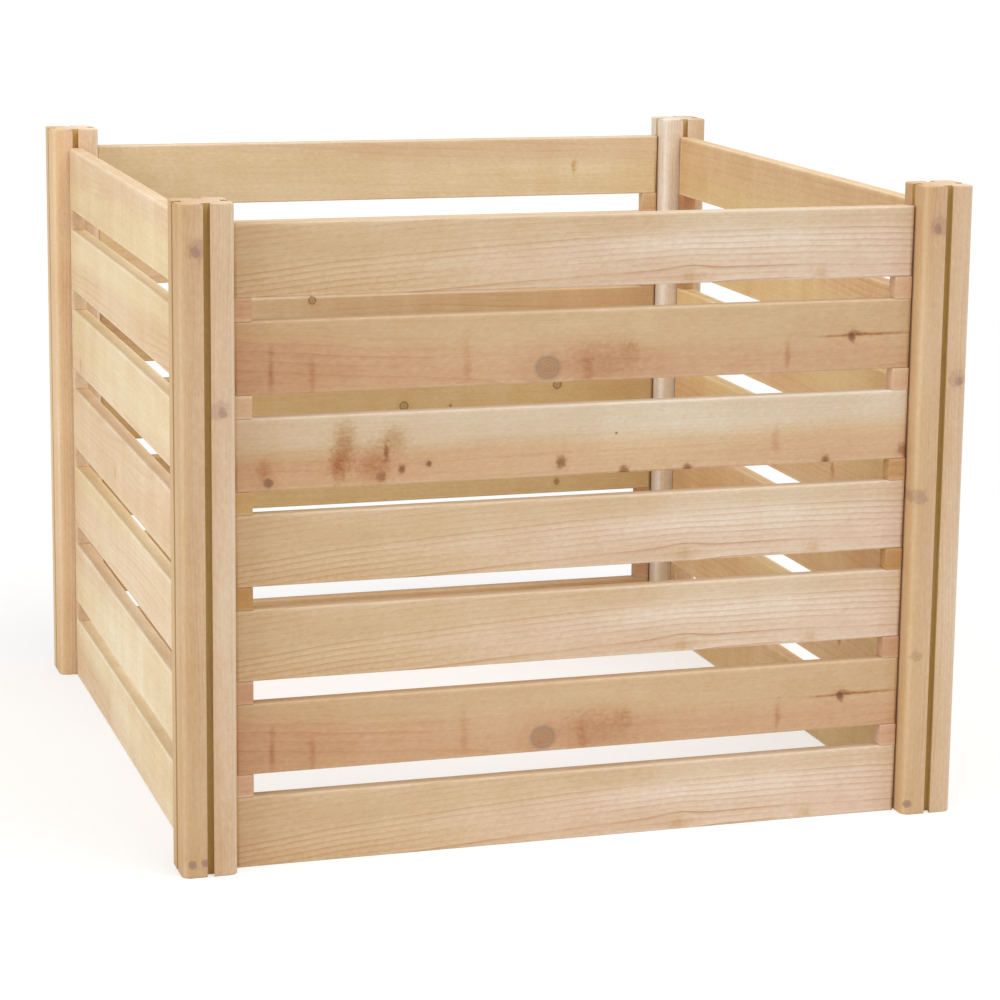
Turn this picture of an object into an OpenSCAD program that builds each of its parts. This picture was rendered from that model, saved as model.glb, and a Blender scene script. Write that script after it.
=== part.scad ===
// Slatted compost bin: four grooved corner posts, slats that slide down into
// the grooves by dovetailed tongues, and spacer blocks that keep the slats
// apart. Millimetres, +Z up. The origin is on the ground at the bin's middle,
// and the front faces -Y.

/* [Bin] */
// Width of the bin over its posts
bin_w = 914; // [700:1:1300]
// Depth of the bin over its posts
bin_d = 914; // [700:1:1300]
// How far the posts rise above the top slats
post_rise = 24; // [5:1:80]

/* [Posts] */
// Side of a square post
post_side = 62; // [50:1:90]
// Radius of a post's long edges
post_edge_r = 10; // [3:0.5:14]

/* [Grooves] */
// Width of a dovetail groove at its mouth
groove_mouth_w = 7.4; // [5:0.1:9]
// Width of a dovetail groove at its floor
groove_floor_w = 12; // [10:0.5:15]
// Depth of a dovetail groove
groove_depth = 10; // [6:0.5:14]

/* [Slats] */
// Height of a slat
slat_h = 80; // [40:0.5:140]
// Thickness of the slats and spacer blocks
board_t = 18; // [14:0.5:24]
// Radius of a slat's long edges
slat_edge_r = 2; // [0.5:0.25:4]

/* [Spacer blocks] */
// Height of a spacer block, which is the air gap between two slats
spacer_h = 25.5; // [10:0.5:50]
// Length of a spacer block outside its groove
spacer_l = 20; // [12:1:60]

/* [Fits] */
// Gap between the shoulder of a board and the face of its post
shoulder_gap = 2; // [0.5:0.25:4]
// Clearance on each side of a tongue in its groove
tongue_side_gap = 0.4; // [0.2:0.1:1]
// Clearance between a tongue's end and the floor of its groove
tongue_end_gap = 0.8; // [0.5:0.1:2]

/* [Hidden] */
$fn = 48;
// Courses of slats on each side
courses = 7;
// Length of a tongue's root inside its board
tongue_root = 6;
// How far a groove's cut runs out past the face
cut_past = 5;

pitch = slat_h + spacer_h;
post_h = courses * slat_h + (courses - 1) * spacer_h + post_rise;
neck_w = groove_mouth_w - 2 * tongue_side_gap;
tongue_reach = groove_depth - tongue_end_gap;
tongue_end_w = neck_w + (groove_floor_w - groove_mouth_w) * tongue_reach / groove_depth;

POST_TONES = ["#d3ad80", "#cda678", "#d8b386", "#c9a173"];
SLAT_TONES = ["#dfbd8c", "#d9b283", "#d6ab7e", "#e2c193", "#dab587"];
BLOCK_TONES = ["#cf9a78", "#d8bb86", "#b9a077", "#dcb891", "#c48f6c"];

// Walls in the order of a turn round the bin: each is the front wall, turned
SIDES = ["front", "right", "back", "left"];
// Corners, each named for the place of its post
CORNERS = ["front_left", "front_right", "back_right", "back_left"];

function post_name(i) = str(CORNERS[i], "_post");
function slat_name(side, course) = str(SIDES[side], "_slat_", course);
function spacers_name(side, course) = str(SIDES[side], "_spacers_", course);

// Front and back walls run along the bin's width, the side walls along its depth
function along_width(side) = side % 2 == 0;
function wall_span(side) = along_width(side) ? bin_w : bin_d;
function wall_offset(side) = (along_width(side) ? bin_d : bin_w) / 2 - post_side / 2;
// Length of a slat between its shoulders
function slat_l(side) = wall_span(side) - 2 * post_side - 2 * shoulder_gap;

// A tone for each piece, so that neighbours differ
function tone(tones, side, course) = tones[(3 * side + 2 * course + floor(course / 3)) % len(tones)];

// A rectangle with round corners, centred on the origin
module round_rect(w, h, r) {
    square([w - 2 * r, h], center = true);
    square([w, h - 2 * r], center = true);
    for (x = [-1, 1], y = [-1, 1])
        translate([x * (w / 2 - r), y * (h / 2 - r)]) circle(r = r);
}

// Section of a groove in the face at x = 0, cut towards -X
module groove_section() {
    polygon([
        [cut_past, -groove_mouth_w / 2], [cut_past, groove_mouth_w / 2],
        [0, groove_mouth_w / 2], [-groove_depth, groove_floor_w / 2],
        [-groove_depth, -groove_floor_w / 2], [0, -groove_mouth_w / 2]
    ]);
}

// Section of a tongue that leaves a board's shoulder at x = 0 towards +X
module tongue_section() {
    polygon([
        [-tongue_root, -neck_w / 2], [shoulder_gap, -neck_w / 2],
        [shoulder_gap + tongue_reach, -tongue_end_w / 2],
        [shoulder_gap + tongue_reach, tongue_end_w / 2],
        [shoulder_gap, neck_w / 2], [-tongue_root, neck_w / 2]
    ]);
}

// Puts a piece of the front wall, drawn about x = 0 and y = 0, into its wall
module in_wall(side) {
    rotate([0, 0, 90 * side]) translate([0, -wall_offset(side), 0]) children();
}

// A post, drawn about the origin
module post_body() {
    linear_extrude(post_h) difference() {
        round_rect(post_side, post_side, post_edge_r);
        for (turn = [0:3])
            rotate(90 * turn) translate([post_side / 2, 0]) groove_section();
    }
}

module post(i) {
    x = (i == 1 || i == 2 ? 1 : -1) * (bin_w - post_side) / 2;
    y = (i >= 2 ? 1 : -1) * (bin_d - post_side) / 2;
    color(POST_TONES[i]) translate([x, y, 0]) post_body();
}

module slat(side, course) {
    l = slat_l(side);
    color(tone(SLAT_TONES, side, course))
    in_wall(side) translate([0, 0, (course - 1) * pitch]) {
        translate([-l / 2, 0, slat_h / 2]) rotate([90, 0, 90])
            linear_extrude(l) round_rect(board_t, slat_h, slat_edge_r);
        for (end = [0, 1])
            mirror([end, 0, 0]) translate([l / 2, 0, 0])
                linear_extrude(slat_h) tongue_section();
    }
}

// The two spacer blocks that lie on one slat, one beside each post
module spacers(side, course) {
    shoulder_x = slat_l(side) / 2;
    color(tone(BLOCK_TONES, side, course))
    in_wall(side) translate([0, 0, (course - 1) * pitch + slat_h])
    for (end = [0, 1])
        mirror([end, 0, 0]) translate([shoulder_x, 0, 0])
            linear_extrude(spacer_h) {
                translate([-spacer_l, -board_t / 2]) square([spacer_l, board_t]);
                tongue_section();
            }
}

for (i = [0:3])
    post(i);

for (side = [0:3], course = [1:courses])
    slat(side, course);

for (side = [0:3], course = [1:courses - 1])
    spacers(side, course);
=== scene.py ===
# %% [markdown]
# # A slatted compost bin of cedar
# The bin is a kit without nails. Four grooved posts stand on the ground, boards
# with dovetailed tongues slide down between them, and small blocks on each board
# keep air gaps for the heap. This lesson dresses the measured frame of that kit
# in planed cedar: every board is its own mesh with its own grain and knots.

# %% Load the bin's frame
import math
import random
from functools import partial

import bmesh
import bpy
from mathutils import Matrix, Vector


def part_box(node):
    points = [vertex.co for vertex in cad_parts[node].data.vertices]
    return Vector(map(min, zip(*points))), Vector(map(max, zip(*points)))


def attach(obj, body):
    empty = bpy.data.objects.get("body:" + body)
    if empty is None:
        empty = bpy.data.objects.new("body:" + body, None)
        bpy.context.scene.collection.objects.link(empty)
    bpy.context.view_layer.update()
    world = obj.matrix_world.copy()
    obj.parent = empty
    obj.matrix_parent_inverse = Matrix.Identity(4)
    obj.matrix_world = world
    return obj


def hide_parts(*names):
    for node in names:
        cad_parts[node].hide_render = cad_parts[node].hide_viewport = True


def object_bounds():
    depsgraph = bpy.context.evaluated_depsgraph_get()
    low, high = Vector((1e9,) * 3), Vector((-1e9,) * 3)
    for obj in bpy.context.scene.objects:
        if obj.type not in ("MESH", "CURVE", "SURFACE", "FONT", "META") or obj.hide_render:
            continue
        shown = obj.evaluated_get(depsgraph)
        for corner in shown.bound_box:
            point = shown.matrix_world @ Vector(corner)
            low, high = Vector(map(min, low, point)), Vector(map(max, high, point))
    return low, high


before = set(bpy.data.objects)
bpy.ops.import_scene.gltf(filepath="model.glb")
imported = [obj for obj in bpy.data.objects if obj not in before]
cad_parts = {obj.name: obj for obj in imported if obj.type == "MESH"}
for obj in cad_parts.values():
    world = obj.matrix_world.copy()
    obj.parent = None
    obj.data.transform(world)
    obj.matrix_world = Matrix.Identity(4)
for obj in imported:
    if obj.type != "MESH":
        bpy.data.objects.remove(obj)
cad_low, cad_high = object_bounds()
MM = 0.001
print("the bin in metres:", [round(v, 3) for v in cad_high - cad_low])

# %% [markdown]
# ## The camera first
# The camera stands to the left of the bin, a little above a person's waist, and
# looks down on it. It could be aimed with a constraint, but a place and three
# turns are easier to read: a turn round the upright, a tip downwards and a small
# roll. The long lens keeps the posts close to parallel.

# %% Camera
CAMERA_PLACE = Vector((-1.0570, -3.5506, 1.1070))
CAMERA_TURN, CAMERA_TIP, CAMERA_ROLL = -17.15, 10.74, 0.65
CAMERA_LENS, CAMERA_SHIFT = 108.75, -0.08
camera = bpy.data.objects.new("camera", bpy.data.cameras.new("camera"))
camera.data.lens = CAMERA_LENS
camera.data.shift_y = CAMERA_SHIFT
camera.data.sensor_width = 36.0
bpy.context.scene.collection.objects.link(camera)
bpy.context.scene.camera = camera
camera.matrix_world = (
    Matrix.Translation(CAMERA_PLACE)
    @ Matrix.Rotation(math.radians(CAMERA_TURN), 4, "Z")
    @ Matrix.Rotation(math.radians(90 - CAMERA_TIP), 4, "X")
    @ Matrix.Rotation(math.radians(CAMERA_ROLL), 4, "Z")
)
bin_middle = (cad_low + cad_high) / 2
print("camera", round((CAMERA_PLACE - bin_middle).length, 2), "m from the bin's middle")

# %% [markdown]
# ## Writing shader nodes in short lines
# A material is a graph of nodes. It could be drawn by hand in the editor, but a
# wood like this one takes some two hundred nodes. In a script a few helpers keep
# it short: one adds a node, one does a sum on numbers and one on arrows.

# %% Helpers that add nodes and do sums
def plug(tree, value, socket):
    """Fills a socket with a link or with a plain number or colour."""
    if isinstance(value, bpy.types.NodeSocket):
        tree.links.new(value, socket)
    else:
        socket.default_value = value


def add(tree, kind, settings=(), **sockets):
    """Adds a node; a socket's name is written with _ for its spaces."""
    node = tree.nodes.new(kind)
    for key, value in dict(settings).items():
        setattr(node, key, value)
    for key, value in sockets.items():
        plug(tree, value, node.inputs[key.replace("_", " ")])
    return node


def calc(tree, operation, *values):
    """One sum on numbers or sockets."""
    node = tree.nodes.new("ShaderNodeMath")
    node.operation = operation
    for value, socket in zip(values, node.inputs):
        plug(tree, value, socket)
    return node.outputs[0]


def sums(tree):
    """Short names for one tree's sums; times_plus(a, b, c) is a * b + c."""
    kinds = ("ADD", "SUBTRACT", "MULTIPLY", "DIVIDE", "MULTIPLY_ADD")
    return [partial(calc, tree, kind) for kind in kinds]


def move(tree, operation, *values):
    """One sum on arrows: vectors in, a vector out."""
    node = tree.nodes.new("ShaderNodeVectorMath")
    node.operation = operation
    for value, socket in zip(values, node.inputs):
        plug(tree, value, socket)
    return node.outputs["Vector"]


print("helpers for sums ready")

# %% [markdown]
# ## Easing, blending and noise
# The rest of the helpers are the painter's tools. A smooth step turns a distance
# into a soft edge, a mix lays one tint over another, and noise that is stretched
# along the board makes fibres. The last one reads a note, three numbers that a
# piece carries as a custom property, so that one material can serve many pieces.

# %% Helpers that ease, blend and make noise
def ease(tree, value, start, end, low=0.0, high=1.0):
    """Goes smoothly from low to high while the value goes from start to end."""
    smooth = {"interpolation_type": "SMOOTHSTEP", "clamp": False}
    node = add(tree, "ShaderNodeMapRange", smooth)
    for socket, number in zip(node.inputs, (value, start, end, low, high)):
        plug(tree, number, socket)
    return node.outputs[0]


def drop(tree, value, start, end):
    """The other way round: from 1 down to 0."""
    return calc(tree, "SUBTRACT", 1.0, ease(tree, value, start, end))


def blend(tree, amount, first, second):
    node = add(tree, "ShaderNodeMix", {"data_type": "RGBA"})
    plug(tree, amount, node.inputs[0])
    plug(tree, first, node.inputs[6])
    plug(tree, second, node.inputs[7])
    return node.outputs[2]


def noise(tree, place, stretch, detail=2.0, rough=0.5):
    """Noise whose waves are 1/stretch metres long in each direction."""
    at = move(tree, "MULTIPLY", place, stretch)
    made = add(tree, "ShaderNodeTexNoise", Vector=at, Scale=1.0, Detail=detail, Roughness=rough)
    return made.outputs[0]


def swing(tree, place, stretch, detail=2.0, rough=0.5):
    """The same noise, but it swings to both sides of zero."""
    return calc(tree, "SUBTRACT", noise(tree, place, stretch, detail, rough), 0.5)


def note(tree, name):
    """Reads a note that a piece carries as a custom property."""
    return add(tree, "ShaderNodeAttribute", {"attribute_type": "OBJECT", "attribute_name": name})


def three(tree, vector):
    """Takes a vector apart into its three numbers."""
    return add(tree, "ShaderNodeSeparateXYZ", Vector=vector).outputs


print("helpers for tints and noise ready")

# %% [markdown]
# ## Sky and lamps
# A studio wraps an object in large soft lamps and stands it on a seamless pale
# sheet. The sky here gives even light from all sides, and the camera sees it as
# plain white. A large lamp hangs above the front, so that light also falls into
# the open bin and on the top edges, and one stands to the left of the left wall.

# %% Sky
SKY_LIGHT = 0.64
world = bpy.data.worlds.new("studio_sky")
bpy.context.scene.world = world
world.use_nodes = True
sky = world.node_tree
sky.nodes.clear()


def is_seen(tree):
    """1 where the camera looks, straight or by a reflection or through glass, else 0."""
    ray = add(tree, "ShaderNodeLightPath").outputs
    mirrored = calc(tree, "MAXIMUM", ray["Is Glossy Ray"], ray["Is Transmission Ray"])
    return calc(tree, "MAXIMUM", ray["Is Camera Ray"], mirrored)


seen = is_seen(sky)
soft = add(sky, "ShaderNodeBackground", Color=(1, 1, 1, 1), Strength=SKY_LIGHT)
white = add(sky, "ShaderNodeBackground", Color=(1, 1, 1, 1), Strength=1.0)
pick = add(sky, "ShaderNodeMixShader", Fac=seen)
sky.links.new(soft.outputs[0], pick.inputs[1])
sky.links.new(white.outputs[0], pick.inputs[2])
sky.links.new(pick.outputs[0], add(sky, "ShaderNodeOutputWorld").inputs[0])
print("sky light", SKY_LIGHT)

# %% Lamps
LAMP_SIDE = 2.6
LAMPS_AIM = Vector((0, 0, 0.35))


def soft_lamp(name, place, watts):
    lamp = bpy.data.lights.new(name, "AREA")
    lamp.energy, lamp.size = watts, LAMP_SIDE
    holder = bpy.data.objects.new(name, lamp)
    holder.location = place
    holder.rotation_euler = (LAMPS_AIM - Vector(place)).to_track_quat("-Z", "Y").to_euler()
    bpy.context.scene.collection.objects.link(holder)
    print(name, watts, "W")


soft_lamp("top_softbox", (0.7, -1.5, 4.1), 78)
soft_lamp("left_softbox", (-4.6, -1.7, 2.4), 75)

# %% [markdown]
# ## The paper under the bin
# The floor is a wide sheet of pale paper. To bring plain paper to white, the lamps
# would have to be too strong for the wood. So the light that reaches the wood meets
# plain matt paper, and the camera sees a greyer sheet that glows a little. The glow
# is weaker near the bin, so the bin's faint shadow still shows there.

# %% Floor
FLOOR_HALF = 30.0
PAPER, SEEN_PAPER = (0.86, 0.86, 0.86, 1), (0.45, 0.45, 0.45, 1)
NEAR, FAR = 0.8, 6.5
GLOW_NEAR, GLOW_FAR = 0.59, 0.735
floor_mesh = bpy.data.meshes.new("floor")
corner_signs = ((-1, -1), (1, -1), (1, 1), (-1, 1))
floor_corners = [(x * FLOOR_HALF, y * FLOOR_HALF, 0) for x, y in corner_signs]
floor_mesh.from_pydata(floor_corners, [], [(0, 1, 2, 3)])
floor = bpy.data.objects.new("floor", floor_mesh)
bpy.context.scene.collection.objects.link(floor)
paper = bpy.data.materials.new("pale_paper")
paper.use_nodes = True
sheet = paper.node_tree
sheet.nodes.clear()
matt = add(sheet, "ShaderNodeBsdfDiffuse", Color=PAPER)
faint = add(sheet, "ShaderNodeBsdfDiffuse", Color=SEEN_PAPER)
away = add(sheet, "ShaderNodeVectorMath", {"operation": "LENGTH"})
plug(sheet, add(sheet, "ShaderNodeTexCoord").outputs["Object"], away.inputs[0])
strength = ease(sheet, away.outputs["Value"], NEAR, FAR, GLOW_NEAR, GLOW_FAR)
glow = add(sheet, "ShaderNodeEmission", Color=(1, 1, 1, 1), Strength=strength)
seen_paper = add(sheet, "ShaderNodeAddShader")
sheet.links.new(faint.outputs[0], seen_paper.inputs[0])
sheet.links.new(glow.outputs[0], seen_paper.inputs[1])
paper_pick = add(sheet, "ShaderNodeMixShader", Fac=is_seen(sheet))
sheet.links.new(matt.outputs[0], paper_pick.inputs[1])
sheet.links.new(seen_paper.outputs[0], paper_pick.inputs[2])
sheet.links.new(paper_pick.outputs[0], add(sheet, "ShaderNodeOutputMaterial").inputs[0])
floor_mesh.materials.append(paper)
bpy.context.scene.view_settings.view_transform = "Standard"
print("floor laid,", 2 * FLOOR_HALF, "m wide")

# %% [markdown]
# ## A knot, and how the grain flows round it
# A knot is a branch that the board's saw cut through: a round plug with its own
# rings, a dark rim, and grain that parts round it like water round a stone. It
# could be painted as an image. Here one node group draws it from a few numbers,
# so every board can hold knots of any size at any place, also dark streaks and
# stains, which are only knots that are stretched and soft. A point's distance
# from the knot, as a share of the knot's radius, says what it is: plug, rim or halo.

# %% Distance from a mark, and the parting of the grain
FRAY, MOST_FRAY, LEAST_FRAY = 5.5 * MM, 0.85, 0.08
# The grain flows round a knot as round one that is shorter and wider
SHORTER, WIDER, MOST_PARTED = 0.45, 1.25, 0.96


def share_of_radius(group, along, up, radius, tall, soft_edge, wobble):
    """How far a point lies from the mark's middle, with a ragged edge."""
    plus, minus, times, share, times_plus = sums(group)
    across = share(up, tall)
    far = calc(group, "SQRT", plus(times(along, along), times(across, across)))
    # Soft marks are ragged by some millimetres, so small ones more for their size
    fray = calc(group, "MINIMUM", share(FRAY, radius), MOST_FRAY)
    fray = times_plus(soft_edge, fray, LEAST_FRAY)
    ragged = times_plus(minus(wobble, 1.0), fray, 1.0)
    return times(share(far, radius), ragged)


def parting(group, along, up, radius, firm):
    """How far a knot pushes the grain aside, further along the board than across it."""
    plus, minus, times, share, times_plus = sums(group)
    along_short = times(along, SHORTER)
    reach = plus(times(along_short, along_short), times(up, up))
    size = times(radius, WIDER)
    part = calc(group, "MINIMUM", share(times(size, size), plus(reach, 1e-7)), MOST_PARTED)
    return times(times(up, part), firm)


print("marks fray by up to", FRAY / MM, "mm")

# %% Knot group
KNOT_RINGS = 1700.0
CORE, HALO = (0.85, 1.1), (0.6, 3.2)
SOFTER_CORE = 0.75
RIM_IN, RIM_OUT = (0.70, 0.95), (1.0, 1.25)


def knot_group():
    """Its Knot is along, up and radius, and its Look is tall, dark and soft."""
    group = bpy.data.node_groups.new("knot", "ShaderNodeTree")
    plus, minus, times, share, times_plus = sums(group)
    for name in ("Place", "Knot", "Look", "Wobble"):
        kind = "NodeSocketFloat" if name == "Wobble" else "NodeSocketVector"
        group.interface.new_socket(name, in_out="INPUT", socket_type=kind)
    for name in ("Bend", "Deep", "Brown", "Rim", "Halo", "Rings"):
        group.interface.new_socket(name, in_out="OUTPUT", socket_type="NodeSocketFloat")
    given, made = group.nodes.new("NodeGroupInput"), group.nodes.new("NodeGroupOutput")
    place, knot, look = (three(group, given.outputs[name]) for name in ("Place", "Knot", "Look"))
    along, up = minus(place[0], knot[0]), minus(place[2], knot[1])
    radius, tall, dark, soft_edge = knot[2], look[0], look[1], look[2]
    firm = minus(1.0, soft_edge)
    d = share_of_radius(group, along, up, radius, tall, soft_edge, given.outputs["Wobble"])
    core_start = times_plus(soft_edge, -SOFTER_CORE, CORE[0])
    core_end = times_plus(soft_edge, SOFTER_CORE, CORE[1])
    core = drop(group, d, core_start, core_end)
    rim = times(ease(group, d, *RIM_IN), drop(group, d, *RIM_OUT))
    halo = drop(group, d, *HALO)
    bend = parting(group, along, up, radius, firm)
    waves = times_plus(calc(group, "SINE", times(times(d, radius), KNOT_RINGS)), 0.5, 0.5)
    rings = times(waves, times(times(core, firm), dark))
    stain = times(core, dark)
    deep = times(stain, soft_edge)
    brown = times(stain, times_plus(firm, times_plus(soft_edge, 1.5, 0.75), 0.1))
    rim = times(times(rim, firm), dark)
    for name, value in (("Bend", bend), ("Deep", deep), ("Brown", brown), ("Rim", rim),
                        ("Halo", times(halo, dark)), ("Rings", rings)):
        plug(group, value, made.inputs[name])
    return group


KNOT = knot_group()
print("knot group of", len(KNOT.nodes), "nodes")

# %% [markdown]
# ## The marks of one board
# Each board lists its own knots and stains as notes, and the material adds them up
# one after another. A material can read only so many notes. So the smallest knots
# carry a place and a radius alone, and all of them share one look.

# %% Marks on a board
SPOT_LOOK = (1.15, 0.75, 0.65)
RAGGED_WAVES, HALO_DEPTH = (150, 170, 170), 0.12


def lay_marks(tree, place, grown, up, knots, spots):
    """Gives the height with the grain parted, then stain, brown, rim and rings."""
    plus, minus, times, share, times_plus = sums(tree)
    ragged = times_plus(noise(tree, grown, RAGGED_WAVES, 3.0, 0.65), 2.2, -0.1)
    stain, brown, rim, rings = 0.0, 0.0, 0.0, 0.0
    for i in range(1, knots + spots + 1):
        look = note(tree, f"look_{i}").outputs["Vector"] if i <= knots else SPOT_LOOK
        knot = note(tree, f"knot_{i}").outputs["Vector"]
        mark = add(tree, "ShaderNodeGroup", {"node_tree": KNOT},
                   Place=place, Wobble=ragged, Knot=knot, Look=look).outputs
        up = minus(up, mark["Bend"])
        stain = plus(stain, times_plus(mark["Halo"], HALO_DEPTH, mark["Deep"]))
        brown = calc(tree, "MAXIMUM", brown, mark["Brown"])
        rim = calc(tree, "MAXIMUM", rim, mark["Rim"])
        rings = calc(tree, "MAXIMUM", rings, mark["Rings"])
    return up, stain, brown, rim, rings


print("a spot is", SPOT_LOOK[0], "times as tall as it is long")

# %% [markdown]
# ## Growth rings
# A board is a slice of a log, so its lines are the log's growth rings cut flat.
# Wavy stripes would be quicker, but they never run together as real grain does.
# The material keeps the log: it measures the distance from the log's middle line,
# which lies outside the board and runs slightly askew to it, and turns the
# distance into rings. Each year's ring is strong or weak by chance, a ring darkens
# slowly and ends in a fine dark line, and the heartwood lies inside a radius.

# %% Growth rings
LATEWOOD = ((0.45, 0.10), (0.78, 0.5), (0.90, 1.0))
SWAY_WAVES, RIPPLE_WAVES, PATCH_WAVES = (2.4, 9, 9), (14, 45, 45), (4, 16, 16)
RIPPLE = 3.6 * MM


def growth_rings(tree, at, up, grown, notes):
    """Rings round the log's middle line, which rises and curves along the board."""
    plus, minus, times, share, times_plus = sums(tree)
    log, run, sweep, fade = (notes[key] for key in ("log", "run", "sweep", "fade"))
    sway = times(swing(tree, grown, SWAY_WAVES, 1.0), sweep[1])
    ripple = times_plus(noise(tree, grown, RIPPLE_WAVES), RIPPLE, -RIPPLE / 2)
    rise = times(at[0], minus(run[0], times(at[0], sweep[0])))
    lean = times(at[0], run[1])
    high = plus(minus(minus(up, log[1]), rise), plus(sway, ripple))
    deep = minus(minus(at[1], log[0]), lean)
    radius = calc(tree, "SQRT", plus(times(high, high), times(deep, deep)))
    count = share(radius, log[2])
    ring = add(tree, "ShaderNodeValToRGB", Fac=calc(tree, "FRACT", count))
    ramp = ring.color_ramp
    for position, level in LATEWOOD:
        ramp.elements.new(position).color = (level, level, level, 1)
    ramp.elements[0].color = ramp.elements[-1].color = (0, 0, 0, 1)
    year = calc(tree, "FLOOR", count)
    year = add(tree, "ShaderNodeTexWhiteNoise", {"noise_dimensions": "1D"}, W=year)
    line = times(ring.outputs[0], times_plus(year.outputs["Value"], 0.75, 0.25))
    # The lines fade out in patches
    line = times(line, ease(tree, noise(tree, grown, PATCH_WAVES, 1.0), 0.32, 0.62, 0.2, 1.0))
    heart = drop(tree, radius, minus(run[2], fade[2]), plus(run[2], fade[2]))
    return times(line, times_plus(heart, 0.65, 0.35)), heart


print("a ring darkens in", len(LATEWOOD), "steps")

# %% [markdown]
# ## Fibres, flecks and the depth of the tint
# Planed cedar is one tint at many depths: a fibre or a ring line is the same wood,
# only deeper. So the material first adds up one number, the depth, from all that
# deepens the wood, and the tint is then raised to that power. That keeps the dark
# parts as warm as the pale ones, where mixing with brown would turn them muddy.

# %% Fine grain
CLOUD_WAVES, BAR_WAVES, FIBRE_WAVES = (3.6, 18, 18), (26, 2.0, 5.0), (10, 620, 620)
FLECK_WAVES, SHIMMER_WAVES, SLANT = (130, 330, 330), (120, 420, 420), 0.75


def fine_grain(tree, grown):
    """Clouds, bars across the grain, fibres along it, flecks and a slanted shimmer, partly painted
    sheen.
    """
    cloud = swing(tree, grown, CLOUD_WAVES, 3.0)
    bars = swing(tree, grown, BAR_WAVES, 2.0)
    fibre = swing(tree, grown, FIBRE_WAVES, 3.0, 0.6)
    fleck = swing(tree, grown, FLECK_WAVES, 2.0)
    # The shimmer's fine lines aslant the grain are partly planed grain and partly painted sheen
    slanted = add(tree, "ShaderNodeVectorRotate", {"rotation_type": "Y_AXIS"},
                  Vector=grown, Angle=SLANT)
    shimmer = swing(tree, slanted.outputs[0], SHIMMER_WAVES, 1.0)
    return cloud, bars, fibre, fleck, shimmer


print("a fibre is about", round(1 / FIBRE_WAVES[1] / MM, 1), "mm wide and",
      round(1 / FIBRE_WAVES[0] / MM), "mm long")

# %% Depth of the tint
CLOUDS, BARS, FIBRES, FLECKS, SHIMMER = 0.8, 0.5, 0.4, 0.4, 0.24
DEEPER_OUTWARD = 0.15


def face_depth(tree, at, notes, deeper, heart, line, stain, oil, textures):
    """The depth of a planed face, from the board's own notes and its fine grain."""
    plus, minus, times, share, times_plus = sums(tree)
    tone, figure, fade, half = (notes[key] for key in ("tone", "figure", "fade", "half"))
    cloud, bars, fibre, fleck, shimmer = textures
    depth = times_plus(at[0], tone[2], plus(tone[0], deeper))
    # A board is a little paler in its middle than toward its ends
    outward = share(at[0], half[0])
    depth = times_plus(times(outward, outward), DEEPER_OUTWARD, depth)
    depth = times_plus(at[2], fade[0], depth)
    depth = times_plus(heart, figure[1], depth)
    depth = times_plus(line, figure[0], depth)
    depth = times_plus(cloud, CLOUDS, depth)
    depth = times_plus(bars, times(figure[2], BARS), depth)
    depth = times_plus(fibre, FIBRES, depth)
    depth = times_plus(fleck, FLECKS, depth)
    depth = times_plus(shimmer, SHIMMER, depth)
    return times_plus(stain, oil, depth)


print("clouds change the depth by up to", CLOUDS / 2)

# %% [markdown]
# ## Ends and arrises
# A sawn end shows pores in place of fibres. The last millimetres of a planed face
# beside its ends, where a board meets a post, are deeper: painted shade. The long
# arrises are paler: a painted highlight. Both could be painted on, but a distance
# from the piece's own half sizes puts them on every piece, whatever its length.

# %% Ends and arrises
PORES = (900, 900, 900)
PORE_DEPTH, END_PALER = 0.9, 0.70
# Painted shade beside the ends of a face, and a painted highlight on its long arrises
END_PAINTED_SHADE, ARRIS_PAINTED_HIGHLIGHT = 0.6, -0.25


def end_depth(tree, grown, depth):
    """A sawn end, paler than a face and peppered with pores."""
    plus, minus, times, share, times_plus = sums(tree)
    pores = noise(tree, grown, PORES, 1.0)
    return times_plus(pores, PORE_DEPTH, minus(depth, END_PALER))


def edge_depth(tree, at, half, depth):
    """A planed face, deeper beside the sawn ends as painted shade and paler on the long arrises as
    a painted highlight.
    """
    plus, minus, times, share, times_plus = sums(tree)
    from_end = calc(tree, "ABSOLUTE", at[0])
    # Painted shade beside the ends, where a board meets a post
    end_shade = ease(tree, from_end, minus(half[0], 5 * MM), half[0])
    depth = times_plus(end_shade, END_PAINTED_SHADE, depth)
    # Painted highlight: the long arrises are paler
    near = []
    for k in (1, 2):
        out = calc(tree, "ABSOLUTE", at[k])
        near.append(ease(tree, out, minus(half[k], 5 * MM), minus(half[k], 0.5 * MM)))
    return times_plus(times(*near), ARRIS_PAINTED_HIGHLIGHT, depth)


print("pores every", round(1 / PORES[0] / MM, 1), "mm")

# %% [markdown]
# ## Planed cedar
# Pale yellow sapwood lies outside in the log and pinkish heartwood inside, and the
# boards of the inner walls go toward gold. The material blends those tints, raises
# them to the depth, scales the result by the board's brightness and lays the knots
# over it. The latewood stands a hair proud of a planed face, so it is also a bump.

# %% Tints
YELLOW = (0.745, 0.580, 0.400, 1)
PINK = (0.735, 0.548, 0.412, 1)
GOLD = (0.755, 0.614, 0.386, 1)
# Olive tints only the grooves: painted shade for the shade inside them
OLIVE = (0.720, 0.565, 0.310, 1)
KNOT_BROWN = (0.16, 0.08, 0.035, 1)
KNOT_GOLD = (0.38, 0.25, 0.11, 1)
OLIVE_RIM = (0.16, 0.095, 0.030, 1)
GREY_RIM = (0.33, 0.24, 0.18, 1)
SMOKE = (0.22, 0.145, 0.19, 1)
NOTES = ("log", "run", "sweep", "tone", "figure", "fade", "half", "bright")


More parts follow.
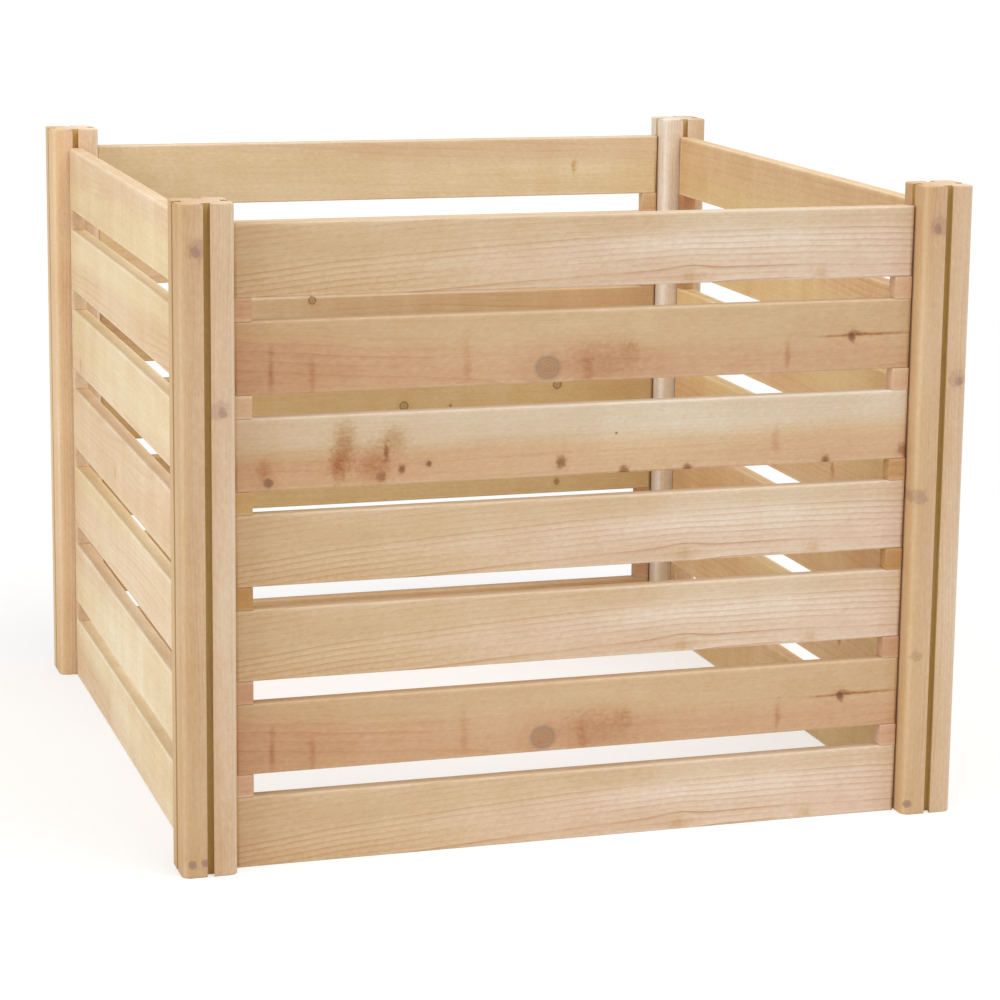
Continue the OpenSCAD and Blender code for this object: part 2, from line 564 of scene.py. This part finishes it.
def wood_tint(tree, at, notes, heart, stain, textures, depth, sap, heartwood):
    """The tint of sapwood, heartwood or gold, at its depth and brightness."""
    plus, minus, times, share, times_plus = sums(tree)
    cloud, fleck = textures[0], textures[3]
    tone, sweep, fade, bright = (notes[key] for key in ("tone", "sweep", "fade", "bright"))
    pink = plus(times_plus(heart, 0.5, tone[1]), times_plus(cloud, 0.7, times(stain, sweep[2])))
    pink = times_plus(at[0], fade[1], times_plus(fleck, 0.8, pink))
    tint = blend(tree, ease(tree, pink, -0.1, 1.1), sap, heartwood)
    tint = blend(tree, ease(tree, pink, -0.3, -1.3), tint, GOLD)
    colour = add(tree, "ShaderNodeGamma", Color=tint, Gamma=depth).outputs[0]
    light = times_plus(heart, minus(bright[1], bright[0]), bright[0])
    scaled = add(tree, "ShaderNodeVectorMath", {"operation": "SCALE"})
    plug(tree, colour, scaled.inputs[0])
    plug(tree, light, scaled.inputs["Scale"])
    return scaled.outputs[0]


print(len(NOTES), "notes for each piece")

# %% Cedar material
FIBRE_RIDGES, STAIN_WAVES = (30, 1500, 1500), (190, 260, 260)
RING_BROWN, LINE_RELIEF, RIDGE_RELIEF = 0.45, 0.5, 0.6
ROUGH_SAWN, ROUGH_PLANED = 0.78, 0.62


def cedar(name, knots=0, spots=0, sawn=False, deeper=0.0, sap=YELLOW, heartwood=PINK,
          plug_tint=KNOT_BROWN, rim_tint=OLIVE_RIM, oil=2.0):
    """Cedar along the piece's own X, with as many marks as the piece may carry."""
    wood = bpy.data.materials.new(name)
    wood.use_nodes = True
    tree = wood.node_tree
    tree.nodes.clear()
    plus, minus, times, share, times_plus = sums(tree)
    place = add(tree, "ShaderNodeTexCoord").outputs["Object"]
    grown = move(tree, "ADD", place, note(tree, "seed").outputs["Vector"])
    at = three(tree, place)
    notes = {key: three(tree, note(tree, key).outputs["Vector"]) for key in NOTES}
    up, stain, brown, rim, rings = lay_marks(tree, place, grown, at[2], knots, spots)
    line, heart = growth_rings(tree, at, up, grown, notes)
    textures = fine_grain(tree, grown)
    stain = times(stain, times_plus(noise(tree, grown, STAIN_WAVES, 2.0), 1.8, 0.1))
    depth = face_depth(tree, at, notes, deeper, heart, line, stain, oil, textures)
    depth = end_depth(tree, grown, depth) if sawn else edge_depth(tree, at, notes["half"], depth)
    colour = wood_tint(tree, at, notes, heart, stain, textures, depth, sap, heartwood)
    if knots:
        colour = blend(tree, brown, colour, plug_tint)
        colour = blend(tree, rim, colour, rim_tint)
        colour = blend(tree, times(rings, RING_BROWN), colour, KNOT_BROWN)
    ridges = PORES if sawn else FIBRE_RIDGES
    relief = plus(times(line, LINE_RELIEF),
                  times(noise(tree, grown, ridges, 2.0), RIDGE_RELIEF))
    bump = add(tree, "ShaderNodeBump", Strength=0.35, Distance=0.0004, Height=relief)
    rough = times_plus(textures[2], 0.18, ROUGH_SAWN if sawn else ROUGH_PLANED)
    shader = add(tree, "ShaderNodeBsdfPrincipled", Base_Color=colour, Roughness=rough,
                 Normal=bump.outputs[0], Specular_IOR_Level=0.3)
    tree.links.new(shader.outputs[0], add(tree, "ShaderNodeOutputMaterial").inputs[0])
    print(name, "has", len(tree.nodes), "nodes, for", knots, "knots and", spots, "spots")
    return wood


# %% [markdown]
# ## Six woods from one recipe
# The same recipe makes every surface of the bin. Planed boards have room for a few
# marks, knotty boards for many with a grey rim, and posts for smoky knots. Blocks
# carry none. Sawn ends show pores, and the grooves are deeper and olive, as painted shade.

# %% Woods of the bin
PLANED_ROOM, KNOTTY_ROOM, POST_ROOM = (5, 0), (11, 7), (7, 0)
PLANED = cedar("planed_cedar", *PLANED_ROOM, plug_tint=KNOT_GOLD)
KNOTTY = cedar("knotty_cedar", *KNOTTY_ROOM, rim_tint=GREY_RIM)
POST_WOOD = cedar("post_cedar", *POST_ROOM, plug_tint=SMOKE, oil=0.5)
BLOCK_WOOD = cedar("block_cedar")
SAWN_END = cedar("sawn_end", sawn=True)
# The grooves' deeper olive tint is painted shade, for the shade inside the narrow grooves
GROOVE_PAINTED_SHADE = cedar("milled_groove", deeper=0.35, sap=OLIVE, heartwood=OLIVE)
print(len(bpy.data.materials), "materials in the scene")

# %% [markdown]
# ## What each board carries
# Boards cut from one pile still differ, so each carries notes of three numbers, in
# metres or as plain shares. log says how far back and how far up from the board the
# log's middle line lies, and how far apart its rings are. run is how steeply that
# line rises, how far it slants back, and the radius of the heartwood. sweep is how
# much the line curves, how much it sways, and how pink stains turn. tone is depth,
# pinkness, and how much deeper the board gets along its length. figure is how
# strong the ring lines, the heartwood's step and the bars across are. fade is how
# much deeper it gets upwards, how much pinker along, and how soft the heartwood's
# edge is. bright is the brightness of sapwood and of heartwood.

# %% Notes for the front boards
RISING = dict(
    log=(-0.055, -0.150, 0.0066), run=(0.034, 0.02, 0.1707), sweep=(0.086, 0.010, -1.5),
    tone=(1.22, -0.03, -0.50), figure=(1.2, -0.22, 0.5), fade=(-1.4, 0.9, 0.008),
    bright=(0.95, 0.98, 0))
KNOT_SLAT = dict(
    log=(-0.080, -0.120, 0.0080), run=(-0.035, 0.01, 0.1369), sweep=(-0.09, 0.012, 1.0),
    tone=(1.57, 0.03, -0.52), figure=(0.42, 0.15, 0.6), fade=(-1.0, -0.25, 0.008),
    bright=(0.96, 1.01, 0))
FEATHERED = dict(
    log=(-0.060, -0.130, 0.0090), run=(0.010, 0.01, 0.1390), sweep=(0.0, 0.016, 0.5),
    tone=(0.95, -0.12, -0.60), figure=(0.25, 0.57, 0.4), fade=(-1.0, -0.25, 0.012),
    bright=(0.90, 1.03, 0))
front_boards = (RISING, KNOT_SLAT, FEATHERED)
print("ring widths, mm:", [round(board["log"][2] / MM, 1) for board in front_boards])

# %% [markdown]
# ## Where the knots and stains are
# The front boards get the knots and stains that they show. Each mark is measured
# from the middle of its board, in millimetres: along, up and radius. Then come how
# many times taller than long it is, how dark, and how soft, from 0 for a firm knot
# to 1 for a stain. A spot has only the first three numbers. Two soft marks are painted light: a
# pale sheen and a thin line of shade.

# %% Marks of the boards and posts
RISING_MARKS = [
    (123, -31, 7, 1.0, 0.0, 0.3), (123, -31, 9, 0.9, 0.16, 1.0), (280, -33, 7, 0.8, 0.16, 1.0),
    # The last mark, paler with its darkness below zero, is a painted sheen across the board's
    # middle
    (-310, -37, 180, 0.13, 0.12, 1.0), (130, 2, 120, 0.10, -0.08, 1.0),
]
KNOT_SLAT_MARKS = [
    (-41, -23, 14.5, 0.93, 0.35, 0.0), (329, 2, 6, 0.35, 0.60, 0.9), (352, 1, 32, 0.045, 0.55, 1.0),
    (303, 0, 16, 0.06, 0.40, 1.0), (-353, -14, 2.6, 8.0, 0.27, 1.0), (-307, -22, 3, 5.0, 0.22, 1.0),
    (-134, -12, 3.5, 5.5, 0.14, 1.0), (243, -22, 3, 5.0, 0.23, 1.0), (20, -16, 42, 0.5, 0.20, 1.0),
    (6, -24, 5, 2.4, 0.19, 1.0), (56, -6, 7, 0.9, 0.18, 1.0),
]
KNOT_SLAT_SPOTS = [(321, -1, 4.6)]
FEATHERED_MARKS = [
    (-356, -31, 5.5, 0.9, 0.55, 0.3), (-360, -18, 7, 1.4, 0.24, 1.0),
    (-271, 5, 10.5, 1.9, 0.44, 1.0),
    (-279, -17, 7, 1.8, 0.39, 1.0), (-238, -15, 15, 1.2, 0.30, 1.0), (-216, 10, 12, 1.0, 0.31, 1.0),
    (-225, -3, 2.2, 3.6, 0.60, 0.8), (-230, -30, 4, 1.4, 0.50, 0.8), (231, -10, 4, 3.0, 0.17, 1.0),
    # The last mark is painted shade: a thin dark line along the bottom edge
    (389, -30, 6, 1.1, 0.50, 0.8), (95, -38.5, 95, 0.012, 0.30, 1.0),
]
FEATHERED_SPOTS = [
    (-207, -23, 3.6), (-176, -18, 2.8), (-24, -24, 5), (50, -38.5, 4.6), (125, -38.5, 4.2),
    (293, -38, 4.4), (40, 6, 1.1),
]
WALL_MARKS = {
    ("back", 7): [(-270, 0, 3, 3.0, 0.35, 1.0)],
    ("back", 5): [(102, 35, 5, 1.0, 0.6, 0.0)],
    ("back", 4): [(-28, -11, 6, 1.0, 0.6, 0.0), (-95, -13, 2, 1.0, 0.7, 0.5),
                  (-251, 10, 6, 1.0, 0.6, 0.0)],
    ("back", 3): [(-252, -24, 4, 1.0, 0.7, 0.5)],
    ("right", 4): [(-170, -2, 4, 2.0, 0.35, 0.8)],
    ("right", 2): [(-207, 0, 4, 1.5, 0.35, 0.8)],
    ("left", 5): [(-326, -25, 5, 1.5, 0.22, 1.0)],
    ("left", 4): [(-69, -11, 5, 1.6, 0.25, 0.9)],
}
POST_MARKS = {
    "front_left_post": [
        (321, 10, 10, 0.9, 0.36, 0.75), (318, 12, 5.5, 0.75, 0.62, 0.6),
        (306, 8, 7, 0.7, 0.14, 1.0),
        (149, -13, 9, 0.95, 0.34, 0.75), (146, -16, 5.2, 0.75, 0.55, 0.6),
        (-353, 20, 4, 1.0, 0.6, 0.5), (-352, 6, 4, 1.0, 0.6, 0.5)],
    "front_right_post": [
        (324, 12, 10, 0.9, 0.36, 0.75), (321, 14, 5.5, 0.75, 0.62, 0.6),
        (148, -17, 9, 0.95, 0.34, 0.75), (145, -20, 5.2, 0.75, 0.55, 0.6),
        (12, 25, 7, 1.2, 0.44, 0.7), (-177, 20, 5, 1.2, 0.34, 0.7), (-355, 25, 4, 1.0, 0.6, 0.5)],
}
print("marks on a knotty slat:", len(KNOT_SLAT_MARKS + KNOT_SLAT_SPOTS),
      "on the feathered one:", len(FEATHERED_MARKS + FEATHERED_SPOTS))

# %% [markdown]
# ## Handing the notes to a piece
# A custom property on the object holds each note, and the material reads it by
# name. A material always reads all the marks that it has room for, so the unused
# ones are laid nine metres off the board. The boards that show no marks get a log
# by chance, from a draw that each board's name fixes.

# %% Write the notes
OFF_BOARD = 9000


def write_notes(piece, notes, half, marks=(), room=(0, 0), spots=(), seed=None):
    """Gives a piece its seed, its half sizes, its log, tone and so on, and its marks."""
    rng = random.Random(seed or piece.name)
    piece["half"] = [float(v) for v in half]
    piece["seed"] = [rng.uniform(0, 2.0) for _ in range(3)]
    for key, value in notes.items():
        piece[key] = [float(v) for v in value]
    marks = [*marks] + [(OFF_BOARD, 0, 1, 1, 0, 1)] * (room[0] - len(marks))
    for i, (along, up, radius, tall, dark, soft_edge) in enumerate(marks, 1):
        piece[f"knot_{i}"] = [along * MM, up * MM, radius * MM]
        piece[f"look_{i}"] = [float(tall), float(dark), float(soft_edge)]
    spots = [*spots] + [(OFF_BOARD, 0, 1)] * (room[1] - len(spots))
    for i, spot in enumerate(spots, room[0] + 1):
        piece[f"knot_{i}"] = [v * MM for v in spot]


def any_log(rng, depth, pinkness, bright):
    """A log for a board that shows no marks of its own."""
    below = rng.choice((-1, 1)) * rng.uniform(0.03, 0.16)
    through = rng.choice((-1, 1)) * rng.uniform(0.03, 0.09)
    far = math.hypot(through, below)
    return dict(
        log=(through, below, rng.uniform(0.006, 0.010)),
        run=(rng.uniform(-0.05, 0.05), rng.uniform(-0.04, 0.04), far + rng.uniform(-0.02, 0.03)),
        sweep=(rng.uniform(-0.05, 0.05), 0.036, 0.3),
        tone=(depth + rng.uniform(-0.06, 0.06), pinkness + rng.uniform(-0.1, 0.1),
              rng.uniform(-0.2, 0.2)),
        figure=(rng.uniform(0.2, 0.55), rng.uniform(0.0, 0.15), rng.uniform(0.6, 1.2)),
        fade=(rng.uniform(-1, 1), 0.0, 0.012),
        bright=(bright, bright, 0))


print("room for marks:", PLANED_ROOM, KNOTTY_ROOM, POST_ROOM)

# %% [markdown]
# ## Sizes
# These are the maker's drawing sizes in millimetres. The boards' places come from
# the loaded frame, so a mesh always lands where the measured part stands.

# %% Sizes
POST_SIDE, POST_ROUND = 62.0, 10.0
GROOVE_MOUTH, GROOVE_FLOOR, GROOVE_DEPTH = 7.4, 12.0, 10.0
SHOULDER_GAP, TONGUE_NECK, TONGUE_REACH, TONGUE_TIP = 2.0, 6.6, 9.2, 10.83
SLAT_ROUND, BLOCK_LENGTH = 2.0, 20.0
WALLS = ["front", "right", "back", "left"]
slat_low, slat_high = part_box("front_slat_1")
SLAT_H, BOARD_T = slat_high.z - slat_low.z, slat_high.y - slat_low.y
SLAT_L = slat_high.x - slat_low.x - 2 * (SHOULDER_GAP + TONGUE_REACH) * MM
WALL_OUT = -(slat_low.y + slat_high.y) / 2
print("slat", round(SLAT_L, 4), "x", round(SLAT_H, 4), "x", round(BOARD_T, 4), "m")

# %% [markdown]
# ## Raising an outline
# So each is drawn as a flat outline and raised, which keeps its corners exact,
# where a stretched cube would have none of them. Faces that look along the grain
# are sawn ends and take that finish, and only the rounded faces are shaded smooth.

# %% Raise an outline and make the piece
def prism(outline, bottom, top):
    """A bmesh solid over a flat outline of (x, y) points, which run anticlockwise."""
    bm = bmesh.new()
    face = bm.faces.new([bm.verts.new((x, y, bottom)) for x, y in outline])
    raised = bmesh.ops.extrude_face_region(bm, geom=[face])["geom"]
    raised = [v for v in raised if isinstance(v, bmesh.types.BMVert)]
    bmesh.ops.translate(bm, vec=(0, 0, top - bottom), verts=raised)
    bmesh.ops.recalc_face_normals(bm, faces=bm.faces)
    return bm


def piece_from(bm, name, materials):
    """Makes the object; faces that look along the grain take the sawn finish."""
    mesh = bpy.data.meshes.new(name)
    for face in bm.faces:
        face.material_index = 1 if abs(face.normal.x) > 0.95 else 0
        face.smooth = max(map(abs, face.normal)) < 0.9995
    bm.to_mesh(mesh)
    bm.free()
    for material in materials:
        mesh.materials.append(material)
    made = bpy.data.objects.new(name, mesh)
    bpy.context.scene.collection.objects.link(made)
    return made


def in_wall(wall, height):
    """The place of a piece of one wall: its X runs along the wall, its -Y faces out."""
    turn = Matrix.Rotation(math.radians(90 * WALLS.index(wall)), 4, "Z")
    return turn @ Matrix.Translation((0, -WALL_OUT, height))


print("walls stand", round(WALL_OUT, 4), "m from the middle")

# %% [markdown]
# ## The slats
# A slat is a planed board, 80 mm high and 18 mm thick, with eased edges and a
# dovetailed tongue at each end. A scaled cube would have none of that, so the
# board is drawn as a plan outline with its tongues, raised to its height, and its
# long edges are rounded with a bevel. Cuts along its length let it bow and cup by
# less than a millimetre, as real boards do, and the tongues stay straight.

# %% Slat mesh
SLAT_CUTS, SLAT_EASE = 24, 2.2
MOST_BOW, MOST_CUP, MOST_CROOK = 0.9, 0.25, 0.25


def tongue_outline(shoulder, edge):
    """Half of a board's plan: from its front corner, round the tongue, to its back corner."""
    half, neck, tip = BOARD_T / MM / 2, TONGUE_NECK / 2, TONGUE_TIP / 2
    root, end = shoulder + SHOULDER_GAP, shoulder + SHOULDER_GAP + TONGUE_REACH
    return [
        (shoulder - edge, -half), (shoulder - edge * 0.3, -half + edge * 0.3),
        (shoulder, -half + edge), (shoulder, -neck), (root, -neck), (end, -tip),
        (end, tip), (root, neck), (shoulder, neck), (shoulder, half - edge),
        (shoulder - edge * 0.3, half - edge * 0.3), (shoulder - edge, half)]


def is_long_edge(edge):
    """True for an edge that runs along a board's four corners."""
    return all(abs(abs(v.co.y) - BOARD_T / 2) < 1e-6 and abs(abs(v.co.z) - SLAT_H / 2) < 1e-6
               for v in edge.verts)


def slat_mesh(rng):
    right = tongue_outline(SLAT_L / MM / 2, SLAT_EASE)
    outline = [(x * MM, y * MM) for x, y in right] + [(-x * MM, -y * MM) for x, y in right]
    bm = prism(outline, -SLAT_H / 2, SLAT_H / 2)
    for i in range(1, SLAT_CUTS):
        cut_at = ((i / SLAT_CUTS - 0.5) * SLAT_L, 0, 0)
        everything = bm.verts[:] + bm.edges[:] + bm.faces[:]
        bmesh.ops.bisect_plane(bm, geom=everything, plane_co=cut_at, plane_no=(1, 0, 0))
    long_edges = [edge for edge in bm.edges if is_long_edge(edge)]
    bmesh.ops.bevel(bm, geom=long_edges, offset=SLAT_ROUND * MM, segments=3, profile=0.5,
                    affect="EDGES")
    bow, cup = rng.uniform(-MOST_BOW, MOST_BOW) * MM, rng.uniform(-MOST_CUP, MOST_CUP) * MM
    crook = rng.uniform(0, MOST_CROOK) * MM
    for v in bm.verts:
        slack = max(0.0, 1 - (2 * v.co.x / SLAT_L) ** 2)
        bent = bow * slack + cup * slack * ((2 * v.co.z / SLAT_H) ** 2 - 0.5)
        v.co.y += bent
        v.co.z += crook * slack
    return bm


print("a slat bows by", MOST_BOW, "mm at most")

# %% [markdown]
# ## Laying the slats
# The front wall repeats three boards: one with rising grain, one with a large knot
# and one with feathered stains. They get those notes, and the other walls get logs
# by chance, paler or deeper by wall, partly as painted light. The left wall is sapwood
# and grows deeper upwards, and the right and back walls, seen on their inner side, are golden.

# %% The front boards
# Painted light: how much brighter each lower front board is painted
FRONT_PAINTED_LIGHT, PAINTED_LIGHT_STEP = 1.06, 0.008


def front_board(course):
    """The notes, marks, spots, material, room and seed of a front board."""
    if course in (2, 6):
        board = KNOT_SLAT, KNOT_SLAT_MARKS, KNOT_SLAT_SPOTS, KNOTTY, KNOTTY_ROOM, "knots"
    elif course == 5:
        board = FEATHERED, FEATHERED_MARKS, FEATHERED_SPOTS, KNOTTY, KNOTTY_ROOM, "feathers"
    else:
        board = RISING, RISING_MARKS, (), PLANED, PLANED_ROOM, "rising"
    # Painted light: the lower boards get less light from above, so they are painted a little
    # brighter
    painted_light = FRONT_PAINTED_LIGHT - PAINTED_LIGHT_STEP * course
    return dict(board[0], bright=[v * painted_light for v in board[0]["bright"]]), *board[1:]


print("the lowest front board is", round(6 * PAINTED_LIGHT_STEP, 3), "brighter than the top one")

# %% Lay the slats
# Depth, pinkness and brightness of the other walls, partly painted light: the right wall's
# inner side lies in shade and is painted brighter, and the top boards, which stand in more light,
# get tones of their own
WALL_TONE = {"right": (1.33, -1.1, 1.29), "back": (1.50, -1.0, 1.02)}
TOP_TONE_PAINTED_LIGHT = {("right", 7): (1.33, -1.1, 1.17), ("back", 7): (1.05, -1.0, 1.06),
            ("back", 6): (1.05, -1.0, 1.21)}


def wall_tone(wall, course):
    """The tone of a board; the left wall grows deeper from board to board."""
    if wall == "left":
        return 0.92 + 0.035 * course, -0.95, 1.11
    return TOP_TONE_PAINTED_LIGHT.get((wall, course), WALL_TONE[wall])


def other_board(wall, course, rng):
    """As front_board, for another wall, where the log is drawn by chance."""
    notes = any_log(rng, *wall_tone(wall, course))
    marks = WALL_MARKS.get((wall, course), ())
    return notes, marks, (), PLANED, PLANED_ROOM, f"{wall}_slat_{course}"


def lay_slat(wall, course):
    node = f"{wall}_slat_{course}"
    low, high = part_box(node)
    rng = random.Random(node)
    board = front_board(course) if wall == "front" else other_board(wall, course, rng)
    notes, marks, spots, material, room, seed = board
    piece = piece_from(slat_mesh(rng), f"{node}_board", [material, SAWN_END])
    piece.matrix_world = in_wall(wall, (low.z + high.z) / 2)
    write_notes(piece, notes, (SLAT_L / 2, BOARD_T / 2, SLAT_H / 2), marks, room, spots, seed)
    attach(piece, f"{wall}_course_{course}")
    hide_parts(node)
    return piece


slats = [lay_slat(wall, course) for wall in WALLS for course in range(1, 8)]
print(len(slats), "slats,", sum(len(s.data.polygons) for s in slats), "faces")

# %% [markdown]
# ## The spacer blocks
# A block is an offcut with the same tongue, so it drops into the groove above a
# slat and carries the next one. Two lie on each slat, one at each end. They are
# cut short and handled loose, so their edges are crisp and each has another tone.
# A block's top stays a tenth of a millimetre low, so it never cuts the slat above.

# %% Block mesh
BLOCK_EASE, BLOCK_CHAMFER, BLOCK_PLAY = 0.8, 0.5, 0.1


def block_bmesh(bottom, top):
    shoulder = SLAT_L / MM / 2
    inner, half, ease_by = shoulder - BLOCK_LENGTH, BOARD_T / MM / 2, BLOCK_EASE
    outline = tongue_outline(shoulder, ease_by) + [
        (inner + ease_by, half), (inner, half - ease_by), (inner, -half + ease_by),
        (inner + ease_by, -half)]
    return prism([(x * MM, y * MM) for x, y in outline], bottom, top)


def pair_of_blocks(half):
    """The block at the right end and its twin, turned half round, with chamfered rims."""
    bm = block_bmesh(-half, half - BLOCK_PLAY * MM)
    twin = bpy.data.meshes.new("block")
    bm.to_mesh(twin)
    twin.transform(Matrix.Rotation(math.pi, 4, "Z"))
    bm.from_mesh(twin)
    bpy.data.meshes.remove(twin)
    rims = [e for e in bm.edges if abs(e.verts[0].co.z - e.verts[1].co.z) < 1e-7
            and min(abs(v.co.x) for v in e.verts) < SLAT_L / 2 + MM * 0.5]
    bmesh.ops.bevel(bm, geom=rims, offset=BLOCK_CHAMFER * MM, segments=1, profile=0.5,
                    affect="EDGES")
    return bm


print("a block is", BLOCK_LENGTH, "mm long outside its groove")

# %% Lay the blocks
# The depth and pinkness of each pair on the front wall, by course
FRONT_BLOCKS = {6: (1.42, 0.1), 5: (1.50, 0.4), 4: (1.85, -0.8), 3: (2.45, -1.1),
                2: (1.75, 0.6), 1: (1.50, 0.6)}
LEFT_BLOCKS = (1.15, -0.1)


def lay_blocks(wall, course):
    node = f"{wall}_spacers_{course}"
    low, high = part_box(node)
    half = (high.z - low.z) / 2
    rng = random.Random(node)
    piece = piece_from(pair_of_blocks(half), f"{node}_blocks", [BLOCK_WOOD, SAWN_END])
    piece.matrix_world = in_wall(wall, (low.z + high.z) / 2)
    depth, pinkness = rng.uniform(1.4, 2.1), rng.choice((0.0, 0.4, 0.7))
    if wall == "front":
        depth, pinkness = FRONT_BLOCKS[course]
    elif wall == "left":
        depth, pinkness = LEFT_BLOCKS
    notes = any_log(rng, depth, pinkness, 1.08)
    write_notes(piece, notes, (SLAT_L / 2 + MM, BOARD_T / 2, half))
    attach(piece, f"{wall}_course_{course}")
    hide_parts(node)
    return piece


blocks = [lay_blocks(wall, course) for wall in WALLS for course in range(1, 7)]
print(2 * len(blocks), "blocks")

# %% [markdown]
# ## The posts
# A post is a square timber with rounded edges and a dovetail groove down each
# face, which takes the tongues. A moulding machine cuts the same section along
# the whole length, so one outline is drawn with its corners and grooves and
# raised to the post's height. The sawn ends get a small chamfer against splinters.

# %% Post mesh
CORNER_STEPS = 9
# How far below an end each ring of the section lies, and how far it is drawn in
END_RINGS = ((0, 1.2), (0.35, 0.35), (1.2, 0), (4, 0))


def post_outline(inset):
    """The post's section in millimetres, drawn in from its faces by the inset."""
    half, r = POST_SIDE / 2 - inset, POST_ROUND - inset
    floor_at = POST_SIDE / 2 - GROOVE_DEPTH
    points = []
    for c, s in ((1, 0), (0, 1), (-1, 0), (0, -1)):
        side = [(half, -GROOVE_MOUTH / 2), (floor_at, -GROOVE_FLOOR / 2),
                (floor_at, GROOVE_FLOOR / 2), (half, GROOVE_MOUTH / 2)]
        for i in range(CORNER_STEPS + 1):
            a = math.radians(90 * i / CORNER_STEPS)
            side.append((half - r + r * math.cos(a), half - r + r * math.sin(a)))
        points += [(c * x - s * y, s * x + c * y) for x, y in side]
    return points


def post_bmesh(half):
    """Stacks the section along the post; the insets at both ends round the sawn rims."""
    bm = bmesh.new()
    heights = [(-half + z * MM, inset) for z, inset in END_RINGS]
    heights += [(half - z * MM, inset) for z, inset in END_RINGS]
    rings = [[bm.verts.new((x * MM, y * MM, z)) for x, y in post_outline(inset)]
             for z, inset in sorted(heights)]
    for lower, upper in zip(rings, rings[1:]):
        for k in range(len(lower)):
            n = (k + 1) % len(lower)
            bm.faces.new((lower[k], lower[n], upper[n], upper[k]))
    bm.faces.new(rings[0][::-1])
    bm.faces.new(rings[-1])
    return bm


print("post section of", len(post_outline(0)), "points")

# %% [markdown]
# ## Standing the posts
# The groove is milled after the faces are planed, and its walls get a finish of their
# own, deeper and olive: painted shade for the shade inside the narrow groove. On each
# post the depth also slopes from one side to the other. On the back right post this is
# painted light: it is pale on its inner sides, seen from the front through the bin and in shade,
# and deeper outside.

# %% Stand the posts
# Depth, brightness, and how fast the depth grows across the post
POST_TONE = {
    "front_left_post": (1.40, 1.0, 8.5), "front_right_post": (1.38, 1.03, 8.5),
    # Painted light: the back right post is pale on its inner sides, which lie in shade, and deeper
    # outside
    "back_left_post": (1.18, 1.16, 8.5), "back_right_post": (0.95, 1.0, -18.0)}


def in_groove(face):
    """True for a face inside a groove, which lies in from both faces and near the middle."""
    y, z = abs(face.center.y), abs(face.center.z)
    deep_in = max(y, z) < (POST_SIDE / 2 - 1) * MM
    return deep_in and min(y, z) < GROOVE_FLOOR * MM / 2 + 1e-6


def stand_post(corner):
    low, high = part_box(corner)
    half = (high.z - low.z) / 2
    bm = post_bmesh(half)
    # The timber's own X is its length, as on the boards
    bmesh.ops.rotate(bm, matrix=Matrix.Rotation(math.radians(90), 3, "Y"), verts=bm.verts)
    piece = piece_from(bm, f"{corner}_timber", [POST_WOOD, SAWN_END, GROOVE_PAINTED_SHADE])
    # Faces inside a groove take the groove's painted shade
    for face in piece.data.polygons:
        if face.material_index == 0 and in_groove(face):
            face.material_index = 2
    upright = Matrix.Rotation(math.radians(-90), 4, "Y")
    piece.matrix_world = Matrix.Translation((low + high) / 2) @ upright
    depth, bright, slope = POST_TONE[corner]
    notes = dict(log=(-0.02, -0.30, 0.0042), run=(0.004, 0.003, 0.318), sweep=(0.0, 0.030, 0.4),
                 tone=(depth, -0.1, 0.0), figure=(0.45, -0.05, 0.3), fade=(slope, 0.0, 0.005),
                 bright=(bright, bright, 0))
    # Noted too long and too slim, so no painted end shade shows at the ends and the round edges
    # take the pale painted highlight
    half_sizes = (half + 3 * MM, 29 * MM, 29 * MM)
    write_notes(piece, notes, half_sizes, POST_MARKS.get(corner, ()), POST_ROOM)
    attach(piece, "posts")
    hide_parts(corner)
    return piece


corners = [f"{end}_{side}_post" for end in ("front", "back") for side in ("left", "right")]
posts = [stand_post(corner) for corner in corners]
print(len(posts), "posts,", round(posts[0].dimensions.x, 3), "m long")
